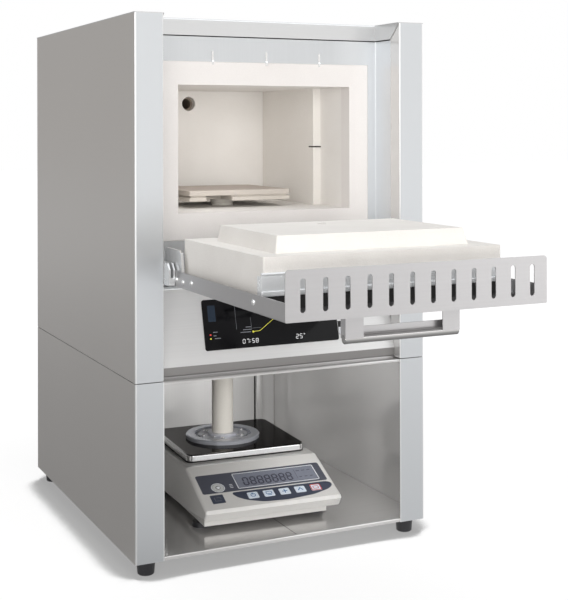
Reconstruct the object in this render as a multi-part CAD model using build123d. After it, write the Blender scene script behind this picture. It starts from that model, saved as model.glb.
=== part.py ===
from build123d import *
import os
from math import atan2, cos, degrees, radians, sin

# Bench muffle furnace on a weighing stand, door folded down to the front.
# Millimetres. X across (right +), Y to the rear, Z up. While modelling, Y = 0 is the
# front of the cabinet pillars; every part is moved at the end, so that the origin is
# the middle of the footprint on the bench.

os.makedirs("parts", exist_ok=True)

# ------------------------------------------------------------------ driving sizes
width = 415.0            # over the side panels
depth = 485.0            # pillar fronts to rear edge
height = 700.0           # bench to lid
foot_height = 19.0
foot_radius = 12.0
foot_inset = 20.0        # centre of a foot from the outer faces
furnace_h = 458.0        # underside of the furnace to the lid
module_gap = 1.0         # shadow line between stand and furnace
pillar = 37.5            # width of the corner pillars
sheet = 1.2              # cabinet sheet
bend = 2.0               # outer radius of a folded edge
pillar_return = 24.0     # depth of the pillar's inner return
recess = 65.0            # pillar fronts to the front plate
lid_lip = 22.0           # height of the lid's front lip
lid_lip_clip = 24.0      # length of the slanted end of the lid's cheeks
floor_top = 24.0         # floor sheet of the stand
rear_inset = 1.3         # rear sheets behind the rear flanges
stand_top = height - furnace_h - module_gap      # top of the weighing stand
upper_z = stand_top + module_gap                 # underside of the furnace

# hot zone
chamber_side = 80.5      # outer face of the cabinet to the fibre opening
chamber_half = width / 2 - chamber_side
chamber_rise = 202.5     # underside of the furnace to the chamber floor
chamber_floor = upper_z + chamber_rise
chamber_height = 168.5
chamber_back = 330.0
fibre_side = 60.0        # thickness of the fibre at the sides
fibre_floor = 59.5
fibre_roof = 59.0
fibre_back = 70.0
collar_side = 30.0       # width of the front collar beside the opening
collar_below = 35.5
collar_above = 31.0
collar_front = 64.0
collar_depth = 24.0
plate_front = 152.5      # front edge of the heating plates
plate_thick = 11.5
vent_radius = 10.75
vent_x = -10.0
vent_rise = 149.0        # chamber floor to the vent
vent_z = chamber_floor + vent_rise
probe_radius = 3.0
probe_x = -60.0
probe_rise = 111.5
probe_z = chamber_floor + probe_rise

# weighing gear
tube_x = -3.0
tube_y = 213.0
tube_radius = 15.5
tube_bore = 10.5
tube_pass = 6.0          # free space round the tube in sheets
tube_pass_fibre = 3.0    # free space round the tube in the fibre floor
tray_w = 153.0
tray_d = 146.0
tray_t = 7.0
tray_front = 146.0
tray_rise = 24.4         # chamber floor to the top of the tray
tray_top = chamber_floor + tray_rise
carrier_t = 7.5
carrier_joint = 2.5      # set-back joint under the tray plate
carrier_inset = 3.0
carrier_notch_w = 39.0
carrier_notch_x = -32.0  # notch centre in the front edge, from the tube
carrier_notch_d = 42.0

scale_w = 194.0
scale_x = 5.0            # middle of the scale
scale_mid = 210.0        # middle of the pan
scale_turn = -3.0        # the scale stands slightly turned
scale_front = 27.0       # nose of the housing
scale_lip = 7.0          # nose to the lower front edge
scale_back = 292.0
scale_bottom = 46.0      # lower front edge of the housing
scale_under = 31.0       # flat underside
face_y = 59.5            # a point on the sloping face
face_z = 73.2
face_angle = 22.0
deck_z = 95.5            # flat top of the housing
scale_foot_r = 13.5
scale_foot_x = 82.0
scale_foot_front = 89.0
scale_foot_back = 272.0
pan_w = 176.0
pan_d = 162.0
pan_top = 107.0
pan_edge = 8.5
pan_wall = 1.5
pan_corner = 11.0
ring_radius = 53.5
ring_inner = 41.0
ring_height = 5.5
hub_radius = 35.5
hub_height = 7.5
post_radius = 9.0
key_count = 5
key_pitch = 22.7
key_row = -12.7          # keys, down the face from its datum point
key_w = 15.0
key_d = 12.5
key_h = 3.0
key_proud = 0.6
key_clear = 0.25
key_first_x = -24.1
key_travel = 0.4
load_travel = 0.4        # give of the load cell
post_clear = 0.3

# door, lying open
hinge_y = 13.0
hinge_rise = 127.0       # underside of the furnace to the hinge axis
hinge_z = upper_z + hinge_rise
door_gap = 8.5           # outer skin to the pillars
door_half = width / 2 - pillar - door_gap
skin_drop = 8.0          # hinge axis to the outer face of the skin
door_reach = 343.0       # hinge axis to the slotted strip
flange_h = 20.0
strip_h = 53.0
slot_count = 12
slot_end = 19.875        # last slot to the end of the strip
slot_pitch = 2 * (door_half - slot_end) / (slot_count - 1)
slot_w = 6.0
slot_h = 35.0
slot_base = 9.0          # skin to the lower end of the slots
hinge_end = 22.0         # hinge axis to the free end of the skin
slab_side = 9.5          # slab to the outer faces of the flanges
slab_half = door_half - slab_side
slab_near = 36.0         # hinge axis to the near end of the fibre slab
slab_far = 270.0
seal_gap = 0.3           # closed door's slab to the collar
plug_clear = 2.0         # plug inside the opening, left and right
plug_clear_z = 0.75      # plug inside the opening, above and below
plug_taper = 4.0         # slope of the plug's left and right faces
plug_taper_near = 0.5
plug_taper_far = 4.8     # slope of the free end, which swings in last
plug_h = 19.0
arm_t = 3.2
arm_len = 95.0           # hinge axis to the far end of an arm
arm_high = 37.5          # hinge axis to the top of an arm
knuckle = 38.0           # length of an arm's high part
bracket_len = 31.0       # hinge axis to the front end of a bracket
bracket_high = 21.0
arm_inside = 1.2         # flange sheet outside the arm
pin_radius = 4.0
pin_clear = 0.05
rail_h = 40.0
bracket_gap = 0.5
handle_half = 72.0
handle_leg_w = 22.0
handle_far = 304.0       # hinge axis to the front of the handle
handle_depth = 11.0
handle_drop = 30.0       # skin to the axis of the bar
bar_radius = 4.8
air_hole = 6.0
air_y = -110.0           # air inlet, from the hinge axis
slider_w = 54.0
slider_d = 30.0
slider_len = 36.0
slider_over = 12.0       # slider past the middle of the hole
slider_t = 1.5
slider_clear = 0.25
slider_travel = 18.0

# control panel
panel_low_y = 15.0
panel_low_rise = 12.5
panel_high_y = 40.0
panel_high_rise = 108.5
panel_low = (panel_low_y, upper_z + panel_low_rise)        # lower fold (y, z)
panel_high = (panel_high_y, upper_z + panel_high_rise)     # upper fold (y, z)
panel_sheet = 1.5
panel_foot = 27.0            # rear end of the lower lip
glass_w = 193.0
glass_h = 65.0
glass_t = 3.0
glass_x = -10.5
glass_up = 17.0              # lower fold to the lower edge of the glass
case_d = 30.0
port_w = 7.0
port_h = 18.0
port_x = 101.0               # from the middle of the glass
port_up = -16.5

# rear
louvre_w = 120.0
louvre_h = 4.0
louvre_pitch = 12.0
louvre_count = 6
louvre_x = 85.0
louvre_rise = 88.0       # underside of the furnace to the lower rows
louvre_drop = 60.0       # lid to the upper rows
inlet_x = -120.0
inlet_rise = 33.0
inlet_z = upper_z + inlet_rise
switch_x = -70.0
switch_w = 22.0
switch_h = 30.0
switch_angle = 9.0

# ------------------------------------------------------------------ derived places
half = width / 2
inner_half = half - pillar           # inner edge of the pillars
wall_in = half - sheet               # inner face of the side sheets
span = wall_in - (bend - sheet) - 0.1   # half width of the sheets between the sides
base_z = foot_height
opening_top = chamber_floor + chamber_height
fibre_half = chamber_half + fibre_side
fibre_low = chamber_floor - fibre_floor
fibre_high = opening_top + fibre_roof
fibre_end = chamber_back + fibre_back
block_front = collar_front + collar_depth
rear_face = depth - rear_inset       # outer face of the rear sheets
skin_z = hinge_z - skin_drop
strip_y = hinge_y - door_reach
tray_under = tray_top - tray_t
tube_top = tray_under - carrier_t
slab_top = collar_front - hinge_y - seal_gap     # hinge axis to the top of the slab
ring_base = pan_top


# ------------------------------------------------------------------ small helpers
def block(x0, x1, y0, y1, z0, z1):
    """Rectangular solid between two corners."""
    return Pos((x0 + x1) / 2, (y0 + y1) / 2, (z0 + z1) / 2) * Box(x1 - x0, y1 - y0, z1 - z0)


def across(face, x0, x1):
    """Extrude a (y, z) outline along X."""
    return extrude(Plane.YZ.offset(x0) * face, amount=x1 - x0)


def upward(face, z0, z1):
    """Extrude an (x, y) outline along Z."""
    return extrude(Plane.XY.offset(z0) * face, amount=z1 - z0)


def rearward(face, y0, y1):
    """Extrude an (x, z) outline along Y."""
    return extrude(Plane.XZ.offset(-y0) * face, amount=-(y1 - y0))


def outline(*points, radius=0.0, corners=None):
    """Closed outline, with its corners (or the chosen ones) rounded."""
    face = make_face(Polyline(*points, close=True))
    if radius > 0:
        chosen = face.vertices()
        if corners is not None:
            keep = [Vector(*points[i], 0) for i in corners]
            chosen = [v for v in chosen if any((Vector(*v.center()) - k).length < 0.01 for k in keep)]
        face = fillet(chosen, radius)
    return face


def folded(points, thick, radius, side=Side.RIGHT):
    """Cross-section of a folded sheet along a line of points."""
    path = FilletPolyline(*points, radius=radius)
    return make_face(path.wire().offset_2d(thick, side=side).edges())


def rod(p, direction, radius, length):
    """Round bar from point p along a direction."""
    plane = Plane(origin=p, z_dir=direction)
    return extrude(plane * Circle(radius), amount=length)


def mirror_x(shape):
    return mirror(shape, about=Plane.YZ)


pieces = {}


def add(name, shape):
    pieces[name] = shape


# ------------------------------------------------------------------ weighing stand
def side_panel(z0, z1, front_return):
    """Left side sheet with a front pillar and a rear flange, open inside."""
    path = [(-inner_half, 0), (-half, 0), (-half, depth), (-inner_half, depth)]
    if front_return > 0:
        path.insert(0, (-inner_half, front_return))
    return upward(folded(path, sheet, bend), z0, z1)


stand_side = side_panel(base_z, stand_top, 0)
add("base_left_side", stand_side)
add("base_right_side", mirror_x(stand_side))

floor_path = [(sheet + 0.1, base_z + 0.2), (sheet + 0.1, floor_top),
              (rear_face - sheet - 0.1, floor_top), (rear_face - sheet - 0.1, base_z + 0.2)]
add("base_floor", across(folded(floor_path, sheet, 1.6), -span, span))

add("base_back", block(-span, span, rear_face - sheet, rear_face, floor_top, stand_top - sheet))

deck_drop = 3.5
deck_path = [(sheet, stand_top - deck_drop), (sheet, stand_top), (rear_face - sheet, stand_top),
             (rear_face - sheet, stand_top - deck_drop)]
deck = across(folded(deck_path, sheet, bend), -span, span)
deck -= rod((tube_x, tube_y, stand_top - 5), (0, 0, 1), tube_radius + tube_pass, 10)
add("base_deck", deck)

feet = []
for fx in (-half + foot_inset, half - foot_inset):
    for fy in (foot_inset, depth - foot_inset):
        foot = Pos(fx, fy, foot_height / 2) * Cone(foot_radius - 1.5, foot_radius, foot_height)
        foot = chamfer(foot.edges().filter_by(GeomType.CIRCLE).sort_by(Axis.Z)[0], 1.2)
        boss = rod((fx, fy, foot_height - 1), (0, 0, 1), foot_radius - 4, floor_top - sheet - foot_height + 1)
        feet.append(foot + boss)
add("rubber_feet", Compound(children=feet))
# ------------------------------------------------------------------ furnace cabinet
lid_under = height - sheet
upper_side = side_panel(upper_z, lid_under, pillar_return)
add("upper_left_side", upper_side)
add("upper_right_side", mirror_x(upper_side))

lid_path = [(recess, height - lid_lip), (recess, height), (depth, height)]
lid = across(folded(lid_path, sheet, bend), -inner_half, inner_half)
shoulder = block(-half, -inner_half, 0, depth, lid_under, height)
cheek_face = outline((1.0, lid_under), (lid_lip_clip, height - lid_lip),
                     (recess + sheet / 2, height - lid_lip), (recess + sheet / 2, lid_under))
cheek = across(cheek_face, -inner_half, -inner_half + sheet)
cheek += block(-inner_half, -inner_half + sheet, 1.0, recess + sheet / 2, lid_under - 0.01, height)
lid = lid + shoulder + mirror_x(shoulder) + cheek + mirror_x(cheek)
add("top_lid", lid)

bottom_path = [(panel_foot + 4, stand_top + 10), (panel_foot + 4, stand_top),
               (rear_face - sheet - 0.1, stand_top), (rear_face - sheet - 0.1, stand_top + 10)]
bottom = across(folded(bottom_path, sheet, bend, Side.LEFT), -span, span)
bottom -= rod((tube_x, tube_y, stand_top - 5), (0, 0, 1), tube_radius + tube_pass, 10)
add("bottom_plate", bottom)

# sheet that carries the hot zone, and the bulkhead behind it
carrier = block(-span, span, recess + sheet, rear_face - sheet, fibre_low - sheet, fibre_low)
carrier -= rod((tube_x, tube_y, fibre_low - 5), (0, 0, 1), tube_radius + tube_pass, 10)
add("chamber_deck", carrier)
bulkhead = block(-wall_in, wall_in, fibre_end, fibre_end + sheet, fibre_low, lid_under)
bulkhead -= rod((vent_x, fibre_end - 5, vent_z), (0, 1, 0), vent_radius, 10)
bulkhead -= rod((probe_x, fibre_end - 5, probe_z), (0, 1, 0), probe_radius + 0.1, 10)
add("rear_bulkhead", bulkhead)

# front plate round the collar, with the liners beside the door
plate_low = panel_high[1] + 1.6
liner = [(-inner_half, pillar_return + 0.2), (-inner_half, recess), (inner_half, recess),
         (inner_half, pillar_return + 0.2)]
front_plate = upward(folded(liner, sheet, 1.6, Side.LEFT), plate_low, height - lid_lip - 1.5)
collar_half = chamber_half + collar_side
collar_low = chamber_floor - collar_below
collar_high = opening_top + collar_above
front_plate -= block(-collar_half, collar_half, 0.5 * recess, 2 * recess, collar_low, collar_high)
add("front_plate", front_plate)

# inclined control panel: lower lip, face, top ledge
panel_path = [(panel_foot, upper_z + 1.3), (panel_low[0], upper_z + 1.3), panel_low, panel_high, (recess - 0.1, panel_high[1]),
              (recess - 0.1, panel_high[1] + 1.4)]
panel = across(folded(panel_path[:5], panel_sheet, 1.8), -inner_half + 0.1, inner_half - 0.1)
slope = atan2(panel_high[0] - panel_low[0], panel_high[1] - panel_low[1])
face_normal = (0, -cos(slope), sin(slope))
glass_mid = glass_up + glass_h / 2
panel_plane = Plane(origin=(glass_x, panel_low[0] + glass_mid * sin(slope),
                            panel_low[1] + glass_mid * cos(slope)),
                    x_dir=(1, 0, 0), z_dir=face_normal)
window = extrude(panel_plane.offset(-8) * RectangleRounded(glass_w - 8, glass_h - 8, 2), amount=16)
port_hole = extrude(panel_plane.offset(-8) * Pos(port_x, port_up) * Rectangle(port_w, port_h), amount=16)
panel = panel - window - port_hole
add("control_panel", panel)
add("display_glass", extrude(panel_plane * RectangleRounded(glass_w, glass_h, 3), amount=1.0)
    + extrude(panel_plane.offset(-glass_t) * RectangleRounded(glass_w - 8.4, glass_h - 8.4, 2), amount=glass_t))
case_plane = panel_plane.offset(-glass_t)
case = extrude(case_plane * RectangleRounded(glass_w - 14, glass_h - 14, 4), amount=-case_d)
case_back = case_plane.offset(-case_d)
for i in range(9):
    case -= extrude(case_back * Pos((i - 4) * 22, 0) * SlotOverall(34, 4, rotation=90), amount=4)
add("controller_case", case)
# ------------------------------------------------------------------ hot zone
opening = block(-chamber_half, chamber_half, collar_front - 10, block_front + 10, chamber_floor, opening_top)
collar = block(-collar_half, collar_half, collar_front, block_front, collar_low, collar_high)
collar = chamfer(collar.faces().sort_by(Axis.Y)[0].edges(), 1.5) - opening
add("fibre_collar", collar)

tube_cut = rod((tube_x, tube_y, fibre_low - 5), (0, 0, 1), tube_radius + tube_pass_fibre, fibre_floor + 10)
add("fibre_floor", block(-fibre_half, fibre_half, block_front, fibre_end, fibre_low, chamber_floor) - tube_cut)
add("fibre_roof", block(-fibre_half, fibre_half, block_front, fibre_end, opening_top, fibre_high))
fibre_wall = block(-fibre_half, -chamber_half, block_front, fibre_end, chamber_floor, opening_top)
add("fibre_left", fibre_wall)
add("fibre_right", mirror_x(fibre_wall))
back_wall = block(-chamber_half, chamber_half, chamber_back, fibre_end, chamber_floor, opening_top)
back_wall -= rod((vent_x, chamber_back - 5, vent_z), (0, 1, 0), vent_radius, fibre_back + 10)
back_wall -= rod((probe_x, chamber_back - 5, probe_z), (0, 1, 0), probe_radius + 0.1, fibre_back + 10)
add("fibre_back", back_wall)

heater = block(-chamber_half, -chamber_half + plate_thick, plate_front, chamber_back,
               chamber_floor, opening_top)
heater = fillet(heater.faces().sort_by(Axis.X)[-1].edges().filter_by(Axis.Z), 1.5)
add("heating_plate_left", heater)
add("heating_plate_right", mirror_x(heater))

# thin clips over the collar's top edge and wire staples on the heating plates
clips, hooks = [], []
for cx in (-78.0, 0.0, 80.0):
    strap = across(outline((recess, collar_high + 14), (recess, collar_high),
                           (collar_front, collar_high - 1.2), (collar_front, collar_high - 4),
                           (collar_front - 1, collar_high - 4), (collar_front - 1, collar_high),
                           (recess - 1, collar_high + 2), (recess - 1, collar_high + 14)),
                   cx - 1.4, cx + 1.4)
    clips.append(strap)
add("collar_clips", Compound(children=clips))
staple_z = chamber_floor + chamber_height / 2
plate_face = chamber_half - plate_thick
wire = 0.9
for s in (-1, 1):
    leg_y = plate_front - wire - 0.3
    leg_x = s * (plate_face - wire - 0.3)
    line = FilletPolyline((s * (chamber_half - 0.1), leg_y, staple_z), (leg_x, leg_y, staple_z),
                          (leg_x, leg_y + 12, staple_z), radius=1.8)
    hooks.append(sweep(Plane(origin=line @ 0, z_dir=line % 0) * Circle(wire), path=line))
add("plate_staples", Compound(children=hooks))

probe = rod((probe_x, chamber_back - 25, probe_z), (0, 1, 0), probe_radius, fibre_back + 25 + 22)
probe = fillet(probe.edges().sort_by(Axis.Y)[0], 2.4)
head = rod((probe_x, fibre_end + sheet, probe_z), (0, 1, 0), 11, 18)
add("temperature_probe", probe + fillet(head.edges().filter_by(GeomType.CIRCLE), 2))

vent_out = depth + 10.0
vent = rod((vent_x, chamber_back + 12, vent_z), (0, 1, 0), vent_radius - 0.1, vent_out - chamber_back - 12)
vent -= rod((vent_x, chamber_back, vent_z), (0, 1, 0), vent_radius - 3, fibre_back + depth)
add("exhaust_tube", vent)

# ------------------------------------------------------------------ rear of the furnace
rear = block(-span, span, rear_face - sheet, rear_face, upper_z + 0.2, lid_under)
for z_row in (upper_z + louvre_rise, height - louvre_drop):
    for side in (-1, 1):
        for i in range(louvre_count):
            z_slot = z_row + (i - (louvre_count - 1) / 2) * louvre_pitch
            cut = rearward(Pos(side * louvre_x, z_slot) * SlotOverall(louvre_w, louvre_h), depth - 10, depth + 10)
            rear -= cut
rear -= rod((vent_x, depth - 10, vent_z), (0, 1, 0), vent_radius, 20)
inlet_w, inlet_h, inlet_d = 28.0, 24.0, 26.0
rear -= block(inlet_x - inlet_w / 2, inlet_x + inlet_w / 2, depth - 10, depth + 10,
              inlet_z - inlet_h / 2, inlet_z + inlet_h / 2)
rear -= block(switch_x - switch_w / 2, switch_x + switch_w / 2, depth - 10, depth + 10,
              inlet_z - switch_h / 2, inlet_z + switch_h / 2)
add("rear_cover", rear)

# mains inlet: flanged body with a recess and three flat pins
flange = rearward(Pos(inlet_x, inlet_z) * RectangleRounded(inlet_w + 22, inlet_h + 6, 3), rear_face, rear_face + 3)
body = rearward(Pos(inlet_x, inlet_z) * RectangleRounded(inlet_w - 0.4, inlet_h - 0.4, 3),
                rear_face - inlet_d, rear_face)
inlet = flange + body
inlet -= rearward(Pos(inlet_x, inlet_z) * RectangleRounded(inlet_w - 4, inlet_h - 4, 3), rear_face - 16, depth + 9)
for px, pz in ((0, 4.5), (-7, -3.5), (7, -3.5)):
    inlet += block(inlet_x + px - 1, inlet_x + px + 1, rear_face - 18, rear_face - 2,
                   inlet_z + pz - 2.5, inlet_z + pz + 2.5)
add("mains_inlet", inlet)

# rocker switch: frame in the rear sheet, rocker on two stub pins
pivot_y = rear_face - 1.0
frame_face = Pos(switch_x, inlet_z) * RectangleRounded(switch_w + 5, switch_h + 5, 2)
frame = rearward(frame_face, rear_face, rear_face + 2)
frame += rearward(Pos(switch_x, inlet_z) * Rectangle(switch_w - 0.4, switch_h - 0.4), rear_face - 22, rear_face)
frame -= rearward(Pos(switch_x, inlet_z) * Rectangle(switch_w - 4, switch_h - 4), rear_face - 14, rear_face + 5)
pin_hole = 1.5
frame -= rod((switch_x - switch_w / 2 + 0.8, pivot_y, inlet_z), (1, 0, 0), pin_hole + pin_clear, switch_w - 1.6)
add("switch_frame", frame)
rocker_h = switch_h - 6
rocker_top = rear_face + 4.5
rocker_face = outline((pivot_y - 5, inlet_z - 7), (rocker_top, inlet_z - rocker_h / 2),
                      (rocker_top - 1.8, inlet_z), (rocker_top, inlet_z + rocker_h / 2),
                      (pivot_y - 5, inlet_z + 7))
rocker = across(rocker_face, switch_x - (switch_w - 5) / 2, switch_x + (switch_w - 5) / 2)
rocker += rod((switch_x - switch_w / 2 + 1.0, pivot_y, inlet_z), (1, 0, 0), pin_hole, switch_w - 2.0)
rocker = rocker.rotate(Axis((switch_x, pivot_y, inlet_z), (1, 0, 0)), switch_angle)
add("switch_rocker", rocker)
# ------------------------------------------------------------------ door hinge, fixed side
bracket_in = door_half + bracket_gap
bracket_face = outline((hinge_y + 4, skin_z + 1), (hinge_y - bracket_len, skin_z + 1),
                       (hinge_y - bracket_len, hinge_z + bracket_high - 8),
                       (hinge_y - bracket_len + 7, hinge_z + bracket_high),
                       (hinge_y - 6, hinge_z + bracket_high), (hinge_y + 9, hinge_z + 10),
                       (hinge_y + 9, skin_z + 6), radius=3)
bracket = across(bracket_face, -inner_half, -bracket_in)
bracket -= block(-inner_half + 2.2, -bracket_in - 2.2, hinge_y - bracket_len - 9, hinge_y - 7.5,
                 hinge_z + 3, hinge_z + bracket_high + 19)
bracket -= rod((-inner_half - 1, hinge_y, hinge_z), (1, 0, 0), pin_radius + pin_clear, 30)
add("hinge_bracket_left", bracket)
add("hinge_bracket_right", mirror_x(bracket))

# ------------------------------------------------------------------ door
flange_top = skin_z + flange_h
near_y = hinge_y - hinge_end
flange_face = outline((strip_y, skin_z), (near_y, skin_z), (near_y, flange_top), (strip_y, flange_top),
                      radius=9, corners=[2])
shell = across(flange_face, -door_half, door_half)
shell -= block(-door_half + sheet, door_half - sheet, strip_y + sheet, near_y + 5, skin_z + sheet, flange_top + 5)
strip = rearward(outline((-door_half, skin_z), (door_half, skin_z), (door_half, skin_z + strip_h),
                         (-door_half, skin_z + strip_h), radius=4, corners=[2, 3]), strip_y, strip_y + sheet)
shell += strip
shell = fillet(shell.edges().filter_by(Axis.Y).group_by(Axis.Z)[0].sort_by(Axis.X)[0], 1.5)
shell = fillet(shell.edges().filter_by(Axis.Y).group_by(Axis.Z)[0].sort_by(Axis.X)[-1], 1.5)
slots = []
for i in range(slot_count):
    sx = (i - (slot_count - 1) / 2) * slot_pitch
    slots.append(rearward(Pos(sx, skin_z + slot_base + slot_h / 2) * SlotOverall(slot_h, slot_w, rotation=90),
                          strip_y - 5, strip_y + 10))
shell -= slots
air_yz = hinge_y + air_y
shell -= rod((0, air_yz, skin_z - 5), (0, 0, 1), air_hole, 10)
# two guide rails for the air slider, under the skin
for s in (-1, 1):
    edge = air_yz + s * (slider_d / 2 + slider_clear)
    low = skin_z - slider_t - 2 * slider_clear
    guide = across(outline((edge, skin_z), (edge, low), (edge - s * 3, low), (edge - s * 3, low - 1.2),
                           (edge + s * 1.2, low - 1.2), (edge + s * 1.2, skin_z)), -slider_w / 2, slider_w / 2)
    shell += guide
add("door_skin", shell)

slab = block(-slab_half, slab_half, hinge_y - slab_far, hinge_y - slab_near, skin_z + sheet, hinge_z + slab_top)
slab = fillet(slab.edges().filter_by(Axis.Z), 2)
slab -= rod((0, air_yz, skin_z - 5), (0, 0, 1), air_hole, 80)
add("door_fibre", slab)

plug_w = 2 * (chamber_half - plug_clear)
plug_near = hinge_y + hinge_z - chamber_floor - plug_clear_z
plug_far = hinge_y + hinge_z - opening_top + plug_clear_z


def plug_section(z, x_in, near_in, far_in):
    """Section of the plug at a height, with its sides drawn in."""
    y0, y1 = plug_far + far_in, plug_near - near_in
    return (Plane((0, (y0 + y1) / 2, z)) * RectangleRounded(plug_w - 2 * x_in, y1 - y0, 2)).face()


plug_base = plug_section(hinge_z + slab_top, 0, 0, 0)
plug_end = plug_section(hinge_z + slab_top + plug_h, plug_taper, plug_taper_near, plug_taper_far)
plug = loft([plug_base, plug_end])
plug -= rod((0, air_yz, hinge_z), (0, 0, 1), air_hole, 100)
add("door_plug", plug)

# retaining rail in front of the slab, with a rolled top edge and wrapped ends
rail_y = hinge_y - slab_far
rail_low = skin_z + sheet
rail_end = slab_half + 3.0
rail = block(-rail_end, rail_end, rail_y - 1.4, rail_y - 0.2, rail_low, rail_low + rail_h)
rail += block(-rail_end, rail_end, rail_y - 12, rail_y - 0.2, rail_low, rail_low + 1.2)
rail += rod((-rail_end, rail_y - 1.8, rail_low + rail_h - 0.5), (1, 0, 0), 1.6, 2 * rail_end)
for s in (-1, 1):
    x0, x1 = sorted((s * (slab_half + 1.8), s * rail_end))
    rail += block(x0, x1, rail_y - 1.4, rail_y + 9, rail_low, rail_low + rail_h - 3)
add("door_rail", rail)

# hinge arms, each with its pin
arm_out = door_half - arm_inside
arm_low = skin_z + sheet + 0.6
arm_face = outline((hinge_y + 6, hinge_z - 3), (hinge_y - 8, arm_low), (hinge_y - arm_len, arm_low),
                   (hinge_y - arm_len, flange_top - 4), (hinge_y - knuckle - 12, flange_top - 1),
                   (hinge_y - knuckle - 8, hinge_z + arm_high - 3.5), (hinge_y - knuckle, hinge_z + arm_high),
                   (hinge_y + 8, hinge_z + arm_high), (hinge_y + 11, hinge_z + 12))
arm_face = fillet(arm_face.vertices(), 2.5)
arm = across(arm_face, -arm_out, -arm_out + arm_t)
arm += rod((-arm_out + 0.5, hinge_y, hinge_z), (-1, 0, 0), pin_radius, inner_half - arm_out - 0.1)
add("door_arm_left", arm)
add("door_arm_right", mirror_x(arm))

# handle: two flat legs joined by a strip, with a round bar along the lower edge
handle_front = hinge_y - handle_far
bar_z = skin_z - handle_drop
bracket_low = bar_z + 1.0
leg = block(-handle_half, -handle_half + handle_leg_w, handle_front, handle_front + 1.5, bracket_low, skin_z)
leg += block(-handle_half, -handle_half + 1.5, handle_front, handle_front + handle_depth, bracket_low, skin_z)
leg += block(-handle_half, -handle_half + handle_leg_w, handle_front, handle_front + handle_depth,
             skin_z - 1.5, skin_z)
handle = leg + mirror_x(leg)
handle += block(-handle_half, handle_half, handle_front + handle_depth - 1.5, handle_front + handle_depth,
                bracket_low, bar_z + 12)
bar_y = handle_front + bar_radius
handle -= rod((-handle_half - 1, bar_y, bar_z), (1, 0, 0), bar_radius + 0.02, 2 * handle_half + 2)
add("handle_bracket", handle)
bar = rod((-handle_half, bar_y, bar_z), (1, 0, 0), bar_radius, 2 * handle_half)
add("handle_bar", chamfer(bar.edges().filter_by(GeomType.CIRCLE), 0.8))

slider_z = skin_z - slider_clear - slider_t
slider = block(-slider_len + slider_over, slider_over, air_yz - slider_d / 2, air_yz + slider_d / 2,
               slider_z, slider_z + slider_t)
knob_x = -slider_len + slider_over + 6
slider += rod((knob_x, air_yz, slider_z), (0, 0, -1), 4, 9)
slider = fillet(slider.edges().filter_by(GeomType.CIRCLE).sort_by(Axis.Z)[0], 1.2)
add("air_slider", slider)
# ------------------------------------------------------------------ laboratory scale
tilt = radians(face_angle)
face_plane = Plane(origin=(0, face_y, face_z), x_dir=(1, 0, 0), z_dir=(0, -sin(tilt), cos(tilt)))


def face_point(y):
    """Height of the sloping face above a given y."""
    return face_z + (y - face_y) * sin(tilt) / cos(tilt)


deck_start = face_y + (deck_z - face_z) * cos(tilt) / sin(tilt)
nose_z = face_point(scale_front + 2.5)
profile = outline((scale_front + scale_lip, scale_bottom), (scale_front, nose_z - 4.5), (scale_front + 2.5, nose_z),
                  (deck_start, deck_z), (scale_back - 6, deck_z), (scale_back, deck_z - 8),
                  (scale_back, scale_under + 4), (scale_back - 90, scale_under + 5),
                  (scale_front + 67, scale_under + 9))
housing = across(profile, -scale_w / 2, scale_w / 2)
under = block(-scale_w / 2 + 9, scale_w / 2 - 9, scale_front + 33, scale_back - 10, scale_under, scale_under + 22)
side_edges = housing.faces().sort_by(Axis.X)[0].edges() + housing.faces().sort_by(Axis.X)[-1].edges()
housing = fillet(side_edges, 3.5) + under
pocket_y = key_row
key_plane = face_plane.offset(0)
for i in range(key_count):
    kx = key_first_x + i * key_pitch
    housing -= extrude(key_plane * Pos(kx, pocket_y) * RectangleRounded(
        key_w + 2 * key_clear, key_d + 2 * key_clear, 2), amount=-(key_h + key_travel + 0.3))
    cap = extrude(key_plane.offset(-(key_h - key_proud)) * Pos(kx, pocket_y) * RectangleRounded(
        key_w, key_d, 1.8), amount=key_h)
    add(f"scale_key_{i + 1}", chamfer(cap.faces().sort_by(Axis.Z)[-1].edges(), 0.35))
post_low = deck_z - 10.0
housing -= rod((0, scale_mid, post_low - load_travel - 0.1), (0, 0, 1), post_radius + post_clear, 30)
display_w, display_d = 116.0, 34.0
display_mid = (20.5, 19.5)
membrane_w, membrane_d = 180.0, 39.0
membrane_t = 0.8
housing -= extrude(face_plane * Pos(0, membrane_d / 2) * RectangleRounded(membrane_w, membrane_d, 3),
                   amount=-membrane_t)
housing -= extrude(face_plane * Pos(display_mid) * RectangleRounded(display_w, display_d - 6, 2), amount=-4)
add("scale_housing", housing)
membrane = extrude(face_plane * Pos(0, membrane_d / 2) * RectangleRounded(
    membrane_w - 0.2, membrane_d - 0.2, 2.9), amount=-membrane_t)
membrane -= extrude(face_plane * Pos(display_mid) * RectangleRounded(display_w, display_d - 6, 2), amount=-4)
level_at = (-66.0, 10.5)
level_r = 8.0
membrane -= extrude(face_plane * Pos(level_at) * Circle(level_r), amount=-4)
add("scale_membrane", membrane)
window_pane = extrude(face_plane * Pos(display_mid) * RectangleRounded(display_w - 0.2, display_d - 6.2, 1.9),
                      amount=-3.9)
add("scale_display", window_pane)
vial = extrude(face_plane * Pos(level_at) * Circle(level_r - 0.1), amount=-membrane_t)
add("scale_level", vial)

scale_feet = []
for fx in (-scale_foot_x, scale_foot_x):
    for fy in (scale_foot_front, scale_foot_back):
        pad = Pos(fx, fy, floor_top + 3) * Cone(scale_foot_r, scale_foot_r - 1, 6)
        scale_feet.append(pad + rod((fx, fy, floor_top + 5), (0, 0, 1), 5, scale_under - floor_top - 5))
add("scale_feet", Compound(children=scale_feet))

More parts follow.
